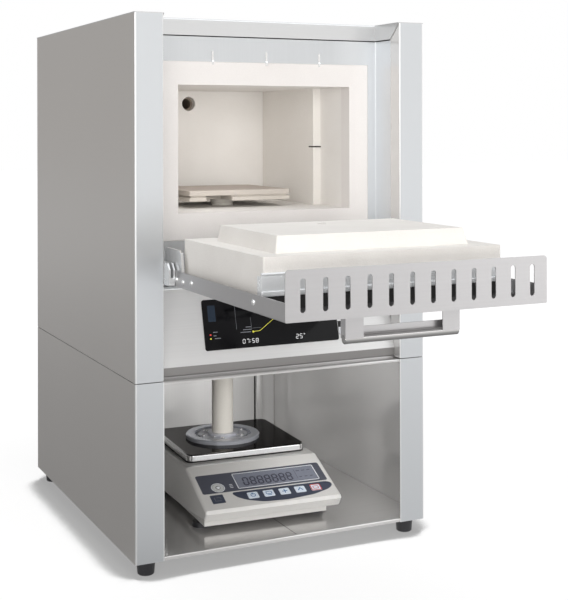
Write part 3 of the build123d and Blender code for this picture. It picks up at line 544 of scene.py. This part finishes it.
# mouldings, rubber, and a near-black finish for dark joints and painted shade
black_moulding = mottled("black_moulding", (0.018, 0.018, 0.02), (0.035, 0.035, 0.04), (0.35, 0.5),
                         10, 900, 0.00004)
rubber = mottled("black_rubber", (0.012, 0.012, 0.014), (0.028, 0.028, 0.032), (0.32, 0.45), 20,
                 700, 0.00006)
dark_joint_and_painted_shade = mottled("dark_joints_and_painted_shade", (0.010, 0.009, 0.009), (0.022, 0.02, 0.02), (0.6, 0.8), 20, 500,
               0.0001)
cream = mottled("pale_moulding", (0.70, 0.69, 0.67), (0.75, 0.74, 0.72), (0.22, 0.30), 6, 1400,
                0.00002, Coat_Weight=0.3, Coat_Roughness=0.1)
key_cap = mottled("key_cap", (0.68, 0.75, 0.84), (0.76, 0.82, 0.89), (0.28, 0.38), 20, 800, 0.00001)
# panes and printed foils
membrane = mottled("membrane_print", (0.085, 0.09, 0.115), (0.10, 0.105, 0.13), (0.42, 0.5), 10,
                   1200, 0.00001)
key_field = mottled("key_field_print", (0.060, 0.070, 0.10), (0.075, 0.085, 0.12), (0.3, 0.4), 10,
                    1200, 0.00001)
lcd_pane = mottled("lcd_pane", (0.21, 0.225, 0.275), (0.245, 0.26, 0.31), (0.16, 0.24), 10, 300)
vial_glass = mottled("level_vial", (0.55, 0.56, 0.56), (0.66, 0.67, 0.66), (0.12, 0.2), 30, 300)
display_pane = mottled("display_pane", (0.003, 0.003, 0.004), (0.005, 0.005, 0.006), (0.05, 0.08),
                       6, 200, Specular_IOR_Level=0.25)
# printed marks
print_white = mottled("white_print", (0.74, 0.76, 0.80), (0.84, 0.86, 0.90), (0.4, 0.5), 30, 800)
print_grey = mottled("grey_print", (0.16, 0.17, 0.19), (0.22, 0.23, 0.25), (0.4, 0.5), 30, 800)
print_dark = mottled("dark_print", (0.035, 0.035, 0.055), (0.05, 0.05, 0.075), (0.3, 0.4), 30, 800)
print_blue = mottled("blue_print", (0.05, 0.16, 0.36), (0.08, 0.22, 0.44), (0.35, 0.5), 30, 800)
print_red = mottled("red_print", (0.55, 0.05, 0.05), (0.68, 0.09, 0.08), (0.35, 0.5), 30, 800)
# lit marks on the display
screen_white = mottled("screen_white", (0.5, 0.5, 0.5), (0.6, 0.6, 0.6), (0.3, 0.4), 30, 800,
                       Emission_Color=(0.7, 0.72, 0.75, 1), Emission_Strength=0.45)
screen_yellow = mottled("screen_yellow", (0.55, 0.52, 0.06), (0.66, 0.62, 0.10), (0.3, 0.4), 30,
                        800, Emission_Color=(0.60, 0.58, 0.04, 1), Emission_Strength=0.4)
screen_red = mottled("screen_red", (0.6, 0.06, 0.05), (0.7, 0.1, 0.08), (0.3, 0.4), 30, 800,
                     Emission_Color=(0.7, 0.04, 0.03, 1), Emission_Strength=0.4)
screen_blue = mottled("screen_blue", (0.010, 0.020, 0.035), (0.014, 0.028, 0.05), (0.06, 0.1), 10,
                      200)

paint = (
    (side_sheet, "base_left_side base_right_side upper_left_side upper_right_side"),
    (lid_sheet, "top_lid rear_cover"),
    (inner_sheet, "bottom_plate chamber_deck rear_bulkhead"),
    (bay_floor_sheet, "base_floor"), (bay_back_sheet, "base_back"), (deck_sheet, "base_deck"),
    (front_sheet, "front_plate"), (panel_sheet, "control_panel"), (display_pane, "display_glass"),
    (black_moulding, "controller_case mains_inlet switch_frame switch_rocker"),
    (collar_board, "fibre_collar"),
    (fibre_board, "fibre_floor fibre_roof fibre_left fibre_right fibre_back"),
    (heater_face, "heating_plate_left heating_plate_right"),
    (screw_metal, "collar_clips"), (wire_metal, "plate_staples"), (flue_ceramic, "exhaust_tube"),
    (tube_ceramic, "temperature_probe support_tube"),
    (hinge_metal, "hinge_bracket_left hinge_bracket_right door_arm_left door_arm_right air_slider"),
    (door_sheet, "door_skin handle_bracket"),
    (slab_board, "door_fibre door_plug"),
    (rail_sheet, "door_rail"), (bar_metal, "handle_bar"), (cream, "scale_housing"),
    (membrane, "scale_membrane"), (lcd_pane, "scale_display"), (vial_glass, "scale_level"),
    (rubber, "scale_feet rubber_feet"),
    (key_cap, "scale_key_1 scale_key_2 scale_key_3 scale_key_4 scale_key_5"),
    (hub_metal, "pan_carrier ring_hub"), (pan_metal, "weighing_pan"), (ring_metal, "ring_flange"),
    (carrier_ceramic, "tray_support"), (tray_plate, "ceramic_tray"),
)
for material, names in paint:
    for name in names.split():
        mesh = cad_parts[name].data
        mesh.materials.clear()
        mesh.materials.append(material)


# ------------------------------------------------------------------ making pieces
SHARP_ANGLE = radians(38)
# thickness of a printed foil
FOIL = 0.05


def piece(name, bm, body, material, smooth=False):
    """Finish a bmesh, already in place, as an object that rides on a body."""
    mesh = bpy.data.meshes.new(name)
    bm.to_mesh(mesh)
    bm.free()
    mesh.materials.append(material)
    for polygon in mesh.polygons:
        polygon.use_smooth = smooth
    if smooth:
        mesh.set_sharp_from_angle(angle=SHARP_ANGLE)
    obj = bpy.data.objects.new(name, mesh)
    bpy.context.collection.objects.link(obj)
    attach(obj, body)


def stamp(bm, part, matrix):
    """Place a small bmesh and add it to a larger one."""
    bmesh.ops.transform(part, matrix=matrix, verts=part.verts)
    bmesh.ops.recalc_face_normals(part, faces=part.faces)
    store = bpy.data.meshes.new("store")
    part.to_mesh(store)
    part.free()
    bm.from_mesh(store)
    bpy.data.meshes.remove(store)


def spot(x, y, z=0.0, spin=0.0):
    """Place on a level face."""
    return shift(x, y, z) @ turn(spin)


def facing(x, y, z, direction):
    """Place on a surface, with Z along its outward direction."""
    tilt = Vector((0, 0, 1)).rotation_difference(Vector(direction))
    return shift(x, y, z) @ tilt.to_matrix().to_4x4()


FRONT, REAR, BELOW = (0, -1, 0), (0, 1, 0), (0, 0, -1)


def only(kind, geometry):
    """The vertices or edges among mixed geometry."""
    return [item for item in geometry if isinstance(item, kind)]


def lift(part, faces, height):
    """Extrude faces along Z and give back what moved."""
    moved = bmesh.ops.extrude_face_region(part, geom=faces)["geom"]
    bmesh.ops.translate(part, verts=only(bmesh.types.BMVert, moved), vec=(0, 0, height))
    return moved


def raise_face(part, height, soft=0.0):
    """Pull a flat sheet of one face up to a thickness and round its upper edges."""
    moved = lift(part, part.faces[:], height)
    if soft:
        bmesh.ops.bevel(part, geom=only(bmesh.types.BMEdge, moved), offset=soft, segments=3,
                        profile=0.5, affect="EDGES", material=-1)
    return part


def hollow_face(part, band, height):
    """Keep a band along the rim of a flat face and pull it up to a thickness."""
    middle = part.faces[:][0]
    bmesh.ops.inset_region(part, faces=[middle], thickness=band, use_boundary=True,
                           use_even_offset=True)
    bmesh.ops.delete(part, geom=[middle], context="FACES")
    lift(part, part.faces[:], height)
    return part


def rectangle(w, h, corner):
    """One flat face with rounded corners."""
    part = bmesh.new()
    bmesh.ops.create_grid(part, x_segments=1, y_segments=1, size=0.5)
    bmesh.ops.scale(part, vec=(w, h, 1), verts=part.verts)
    if corner:
        bmesh.ops.bevel(part, geom=part.verts[:], offset=corner, segments=5, profile=0.5,
                        affect="VERTICES", material=-1)
    return part


def circle(radius, segments):
    """One flat round face."""
    part = bmesh.new()
    bmesh.ops.create_circle(part, cap_ends=True, segments=segments, radius=radius)
    return part


def tile(w, h, corner=0.0, height=0.1, soft=0.0):
    """Flat rounded plate."""
    return raise_face(rectangle(w, h, corner), height, soft)


def disc(radius, height=0.1, soft=0.0, segments=32):
    """Flat round plate."""
    return raise_face(circle(radius, segments), height, soft)


def border(w, h, corner, band, height):
    """Thin frame line with rounded corners; the corner is wider than the band."""
    return hollow_face(rectangle(w, h, corner), band, height)


def hoop(outer, inner, height, segments=40):
    """Flat ring."""
    return hollow_face(circle(outer, segments), outer - inner, height)


def rivet(radius, height):
    """Domed head standing on a surface."""
    part = bmesh.new()
    bmesh.ops.create_uvsphere(part, u_segments=20, v_segments=12, radius=radius)
    bmesh.ops.scale(part, vec=(1, 1, height / radius), verts=part.verts)
    cut = bmesh.ops.bisect_plane(part, geom=part.verts[:] + part.edges[:] + part.faces[:],
                                 plane_co=(0, 0, 0), plane_no=(0, 0, 1), clear_inner=True)
    bmesh.ops.holes_fill(part, edges=only(bmesh.types.BMEdge, cut["geom_cut"]))
    return part


def socket_screw(radius, height, socket):
    """Cylinder head with a sunk drive."""
    rounding = 0.16 * radius
    part = disc(radius, height, segments=24)
    top = max(part.faces, key=lambda face: face.calc_center_median().z)
    bmesh.ops.bevel(part, geom=list(top.edges), offset=rounding, segments=2, profile=0.5,
                    affect="EDGES", material=-1)
    # of the faces at full height, the widest is the flat top
    top = max(part.faces, key=lambda f: (round(f.calc_center_median().z, 4), f.calc_area()))
    bmesh.ops.inset_region(part, faces=[top], thickness=radius - rounding - socket)
    lift(part, [top], -0.55 * height)
    bmesh.ops.delete(part, geom=[top], context="FACES")
    return part


def stroke(bm, matrix, points, width, height=0.06):
    """Line drawn through points with square ends."""
    for (x0, y0), (x1, y1) in zip(points, points[1:]):
        run = Vector((x1 - x0, y1 - y0))
        angle = Vector((1, 0)).angle_signed(run)
        place = shift((x0 + x1) / 2, (y0 + y1) / 2) @ Matrix.Rotation(-angle, 4, "Z")
        stamp(bm, tile(run.length + width * 0.6, width, 0, height), matrix @ place)


# lit segments of each figure in use: a top, b and c right, d foot, e and f left, g middle
SEGMENTS = {"0": "abcdef", "2": "abged", "5": "afgcd", "7": "abc", "8": "abcdefg"}
DIGIT_LEAN = 0.08


def seven_segments(bm, matrix, w, h, digit, thick):
    """One figure of a seven-segment display."""
    bars = {"a": (w / 2, h, 0), "g": (w / 2, h / 2, 0), "d": (w / 2, 0, 0), "f": (0, h * 0.75, 90),
            "b": (w, h * 0.75, 90), "e": (0, h * 0.25, 90), "c": (w, h * 0.25, 90)}
    for key in SEGMENTS[digit]:
        x, y, spin = bars[key]
        length = (h / 2 if spin else w) - thick * 0.5
        bar = tile(length, thick, thick * 0.3, FOIL)
        stamp(bm, bar, matrix @ spot(x + y * DIGIT_LEAN, y, 0, spin))


# ------------------------------------------------------------------ door
ARM_FACE = 161.5
RAIL_FACE = -258.3
DOOR_UNDERSIDE = 361

rivets = bmesh.new()
for side in (-1, 1):
    for y, z in ((-22, 370), (-44, 369), (-72, 371), (-252, 372)):
        stamp(rivets, rivet(3.6, 2.0), CABINET @ facing(side * ARM_FACE, y, z, (side, 0, 0)))
piece("door_rivets", rivets, "door", screw_metal, smooth=True)

# painted shade: a dark sheet lines the hollow between the slotted strip and the rail, standing in
# for its shade
hollow_shade = bmesh.new()
stamp(hollow_shade, tile(317, 66, 0, 0.3), CABINET @ spot(0, -294, 363.6))
stamp(hollow_shade, tile(304, 15, 0, 0.3), CABINET @ facing(0, RAIL_FACE - 0.15, 370.4, FRONT))
piece("painted_hollow_shade", hollow_shade, "door", dark_joint_and_painted_shade)

# hem along the lower edge of the rail
hem = bmesh.new()
stamp(hem, tile(309, 5.5, 1.2, 1.6, 0.6), CABINET @ facing(0, RAIL_FACE, 380.8, FRONT))
piece("rail_hem", hem, "door", rail_sheet, smooth=True)

# screws that hold the handle and the slide's guides, on the outside of the door
door_screws = bmesh.new()
for x, y in ((-61, -286), (61, -286), (-130, -40), (130, -40), (-130, -300), (130, -300)):
    stamp(door_screws, socket_screw(3.2, 1.9, 1.5), CABINET @ facing(x, y, DOOR_UNDERSIDE, BELOW))
piece("door_screws", door_screws, "door", screw_metal, smooth=True)

# ------------------------------------------------------------------ display
status = bmesh.new()
stamp(status, tile(10.5, 21, 0.6, FOIL), DISPLAY @ spot(-84, 14.5))
piece("display_status_field", status, "cabinet", screen_blue)

lines = bmesh.new()
stroke(lines, DISPLAY, [(-51, 22), (-51, -8)], 0.35)
stroke(lines, DISPLAY, [(-30, 6), (-30, -8), (-16, -8)], 0.3)
for x, y, w in ((-84, -9.5, 6), (-84, -14, 4), (-82.5, -17.6, 8)):
    stamp(lines, tile(w, 1.1, 0, FOIL), DISPLAY @ spot(x + w / 2, y))
for x, y, w in ((-38, -6, 8), (-42, -9.2, 12), (-46, -12.4, 15)):
    stamp(lines, tile(w, 1.0, 0, FOIL), DISPLAY @ spot(x + w / 2, y))
piece("display_lines", lines, "cabinet", print_grey)

# clock time and temperature
digits = bmesh.new()
for i, digit in enumerate("0758"):
    after_colon = 2.4 if i > 1 else 0
    place = DISPLAY @ spot(-44 + 5.4 * i + after_colon, -26.6)
    seven_segments(digits, place, 3.2, 5.0, digit, 0.75)
for y in (-25.4, -22.8):
    stamp(digits, tile(0.8, 0.8, 0, FOIL), DISPLAY @ spot(-33.4, y))
for i, digit in enumerate("25"):
    seven_segments(digits, DISPLAY @ spot(33 + 5.6 * i, -26.0), 3.4, 5.4, digit, 0.8)
stamp(digits, hoop(1.0, 0.5, FOIL, 12), DISPLAY @ spot(45.5, -20.8))
piece("display_figures", digits, "cabinet", screen_white)

# heating curve and the two status marks
ramp = bmesh.new()
stroke(ramp, DISPLAY, [(-28, -12.5), (-18, -11.8), (2, 1.5), (12, 8)], 0.65)
stamp(ramp, disc(1.3, 0.08, 0, 16), DISPLAY @ spot(-28, -12.5))
stamp(ramp, tile(1.9, 1.9, 0.2, 0.06), DISPLAY @ spot(-88, -17.6))
piece("display_ramp", ramp, "cabinet", screen_yellow)
red_mark = bmesh.new()
stamp(red_mark, tile(1.9, 1.9, 0.2, 0.06), DISPLAY @ spot(-88, -12.6))
piece("display_red_mark", red_mark, "cabinet", screen_red)

# data port beside the glass
tongue = bmesh.new()
stamp(tongue, tile(6.0, 9.5, 0.3, 0.9), DISPLAY @ spot(101, -20.4, -2.0))
piece("port_tongue", tongue, "cabinet", print_white)
shell = bmesh.new()
stamp(shell, border(6.6, 17.4, 1.0, 0.6, 1.2), DISPLAY @ spot(101, -16.5, -2.3))
piece("port_shell", shell, "cabinet", black_moulding)

# ------------------------------------------------------------------ scale
# heights of the print over the membrane, the pane and the keys
PRINT, PANE_PRINT, KEY_PRINT = 0.02, 0.03, 0.62
LEVEL_X, LEVEL_Y = -66, 10.5
BADGE_X, BADGE_Y = -73.5, -12
KEY_X, KEY_Y, KEY_PITCH = -24.1, -12.7, 22.7

# dark field behind the five keys: straight above, bowed below
field = bmesh.new()
for x, y in ((-52, -2.2), (88, -2.2), (94, -9), (86, -17.5), (60, -25.5), (20, -29.5), (-14, -27.5),
             (-36, -20), (-48, -11)):
    field.verts.new((x, y, 0))
field.faces.new(field.verts[:])
bmesh.ops.bevel(field, geom=field.verts[:], offset=5, segments=4, profile=0.5, affect="VERTICES",
                material=-1)
key_band = bmesh.new()
stamp(key_band, raise_face(field, 0.12), SCALE_FACE @ spot(0, 0, PRINT))
piece("key_field", key_band, "cabinet", key_field)

# frame of the pane, ring of the level and three short lines between them
white = bmesh.new()
stamp(white, border(119, 31.6, 2, 1.2, 0.12), SCALE_FACE @ spot(20.5, 19.5, PRINT))
stamp(white, hoop(9.3, 8.4, 0.12), SCALE_FACE @ spot(LEVEL_X, LEVEL_Y, PRINT))
for i in range(3):
    stamp(white, tile(4.4, 0.8), SCALE_FACE @ spot(-47, 8 + 3.0 * i, PRINT))
piece("membrane_lines", white, "cabinet", print_white)

lcd = bmesh.new()
for i, digit in enumerate("0888888"):
    place = SCALE_FACE @ spot(-28 + 10.6 * i, 9.5, PANE_PRINT)
    seven_segments(lcd, place, 6.4, 15.0, digit, 2.1)
for i in range(3):
    stamp(lcd, tile(5.0, 1.3, 0.3, FOIL), SCALE_FACE @ spot(55 + 8 * i, 26, PANE_PRINT))
    stamp(lcd, tile(4.0, 1.3, 0.3, FOIL), SCALE_FACE @ spot(55 + 8 * i, 13, PANE_PRINT))
stroke(lcd, SCALE_FACE @ spot(0, 0, PANE_PRINT), [(50, 29), (50, 10)], 0.5, FOIL)
piece("lcd_segments", lcd, "cabinet", print_dark)

level = bmesh.new()
stamp(level, hoop(3.4, 2.7, 0.1, 24), SCALE_FACE @ spot(LEVEL_X, LEVEL_Y, PRINT))
piece("level_mark", level, "cabinet", print_dark)
bubble = bmesh.new()
stamp(bubble, rivet(2.2, 0.5), SCALE_FACE @ spot(LEVEL_X + 0.8, LEVEL_Y + 0.4, PRINT))
piece("level_bubble", bubble, "cabinet", print_white, smooth=True)

badge = bmesh.new()
stamp(badge, tile(18, 17, 1.2, 0.14), SCALE_FACE @ spot(BADGE_X, BADGE_Y, PRINT))
piece("level_badge", badge, "cabinet", key_field)
sign = bmesh.new()
for points in ([(-4, 3.5), (-4, -3.5), (4.5, -3.5)], [(-1, 3), (4.5, 3), (4.5, 0)]):
    stroke(sign, SCALE_FACE @ spot(BADGE_X, BADGE_Y, PRINT + 0.14), points, 0.8)
piece("level_badge_sign", sign, "cabinet", print_grey)

# signs of the first four keys as strokes with their widths, the first two with an outline
key_signs = (
    (hoop(3.6, 2.6, 0.06, 24), 0, (([(0, 0.6), (0, 4.4)], 1.1),)),
    (border(8.4, 5.6, 1.3, 0.9, 0.06), 0.8, (([(-2.4, -3.8), (2.4, -3.8)], 1.0),)),
    (None, 0, (([(-3.2, 0), (3.2, 0)], 1.3), ([(0, -3.2), (0, 3.2)], 1.3))),
    (None, 0, (([(-3.2, -1.8), (0, 2.8), (3.2, -1.8)], 1.3),)),
)
for i, (outline, outline_y, strokes) in enumerate(key_signs):
    place = SCALE_FACE @ spot(KEY_X + KEY_PITCH * i, KEY_Y, KEY_PRINT)
    mark = bmesh.new()
    if outline:
        stamp(mark, outline, place @ spot(0, outline_y))
    for points, width in strokes:
        stroke(mark, place, points, width)
    piece(f"key_{i + 1}_sign", mark, f"key_{i + 1}", print_blue)

place = SCALE_FACE @ spot(KEY_X + KEY_PITCH * 4, KEY_Y, KEY_PRINT)
mark = bmesh.new()
stamp(mark, border(15.0, 12.5, 2.0, 1.2, 0.12), place @ spot(0, 0, -0.01))
stamp(mark, border(8.0, 5.8, 1.3, 0.9, 0.06), place)
piece("key_5_red_rim", mark, "key_5", print_red)

# painted shade: a dark block stands in for the shade in the gap under the pan; its height leaves
# room for the pan to sink on the load cell
pan_shade = bmesh.new()
stamp(pan_shade, tile(175, 155, 8, 2.0), SCALE @ spot(0, SCALE_Y, 95.7))
piece("painted_shade_under_pan", pan_shade, "cabinet", dark_joint_and_painted_shade)

# sockets at the rear of the scale
sockets = bmesh.new()
stamp(sockets, tile(60, 14, 2, 0.4, 0.15), SCALE @ facing(0, 292, 62, REAR))
for x in (-20, 0, 20):
    stamp(sockets, disc(3.6, 1.2, 0.4, 20), SCALE @ facing(x, 292.4, 62, REAR))
piece("scale_rear_sockets", sockets, "cabinet", black_moulding, smooth=True)

# two circles of screws in the ring: count, first angle, pitch radius and the screw's sizes
RING_X, RING_Y, RING_TOP = -3, 213, 111.0
ring_screws = bmesh.new()
for count, start, pitch, sizes in ((6, 8, 31.5, (2.5, 2.2, 1.2)), (4, 38, 24.6, (1.9, 1.5, 0.9))):
    for i in range(count):
        a = radians(360 / count * i + start)
        place = CABINET @ spot(RING_X + pitch * cos(a), RING_Y + pitch * sin(a), RING_TOP)
        stamp(ring_screws, socket_screw(*sizes), place)
piece("ring_screws", ring_screws, "weighing_platform", screw_metal, smooth=True)

# ------------------------------------------------------------------ stand
BAY_BACK, BAY_MIDDLE, BAY_RUN = 482.4, 131, 212
PANEL_FOOT, PANEL_RUN = 17.4, 338

strips = bmesh.new()
for side in (-1, 1):
    place = CABINET @ facing(side * 176.5, BAY_BACK, BAY_MIDDLE, FRONT)
    stamp(strips, tile(11, BAY_RUN, 1.0, 4, 1.0), place)
piece("bay_corner_strips", strips, "cabinet", bay_back_sheet, smooth=True)
foot = bmesh.new()
stamp(foot, tile(PANEL_RUN, 2.1, 0, 1.0), CABINET @ facing(0, PANEL_FOOT, 242.1, FRONT))
piece("panel_foot_strip", foot, "cabinet", door_sheet)
# dark seams beside the corner strips, along the bay's floor and under the panel
seams = bmesh.new()
for side in (-1, 1):
    place = CABINET @ facing(side * 169.2, BAY_BACK, BAY_MIDDLE, FRONT)
    stamp(seams, tile(2.4, BAY_RUN, 0, 0.5), place)
stamp(seams, tile(0.8, 470, 0, 0.15), CABINET @ spot(14.5, 240, 24.0))
stamp(seams, tile(PANEL_RUN, 1.2, 0, 0.3), CABINET @ facing(0, PANEL_FOOT, 240.5, FRONT))
piece("bay_seams", seams, "cabinet", dark_joint_and_painted_shade)

# ------------------------------------------------------------------ rear fixings
COVER_FACE, COVER_SCREW_X = 483.7, 162
INLET_FACE, INLET_X, INLET_Z = 486.7, -120, 275
EARTH_X = -20

rear = bmesh.new()
for z in (252, 400, 560, 690, 40, 226):
    for side in (-1, 1):
        place = CABINET @ facing(side * COVER_SCREW_X, COVER_FACE, z, REAR)
        stamp(rear, socket_screw(3.6, 2.2, 1.6), place)
for side in (-1, 1):
    place = CABINET @ facing(INLET_X + side * 20, INLET_FACE, INLET_Z, REAR)
    stamp(rear, socket_screw(2.2, 1.2, 1.0), place)
piece("rear_screws", rear, "cabinet", screw_metal, smooth=True)
# earth stud: a washer and a hexagon nut
earth = bmesh.new()
stamp(earth, disc(6, 1.2, 0.3, 32), CABINET @ facing(EARTH_X, COVER_FACE, INLET_Z, REAR))
stamp(earth, disc(4.4, 4.0, 0.4, 6), CABINET @ facing(EARTH_X, COVER_FACE + 1.2, INLET_Z, REAR))
piece("earth_stud", earth, "cabinet", brass, smooth=True)
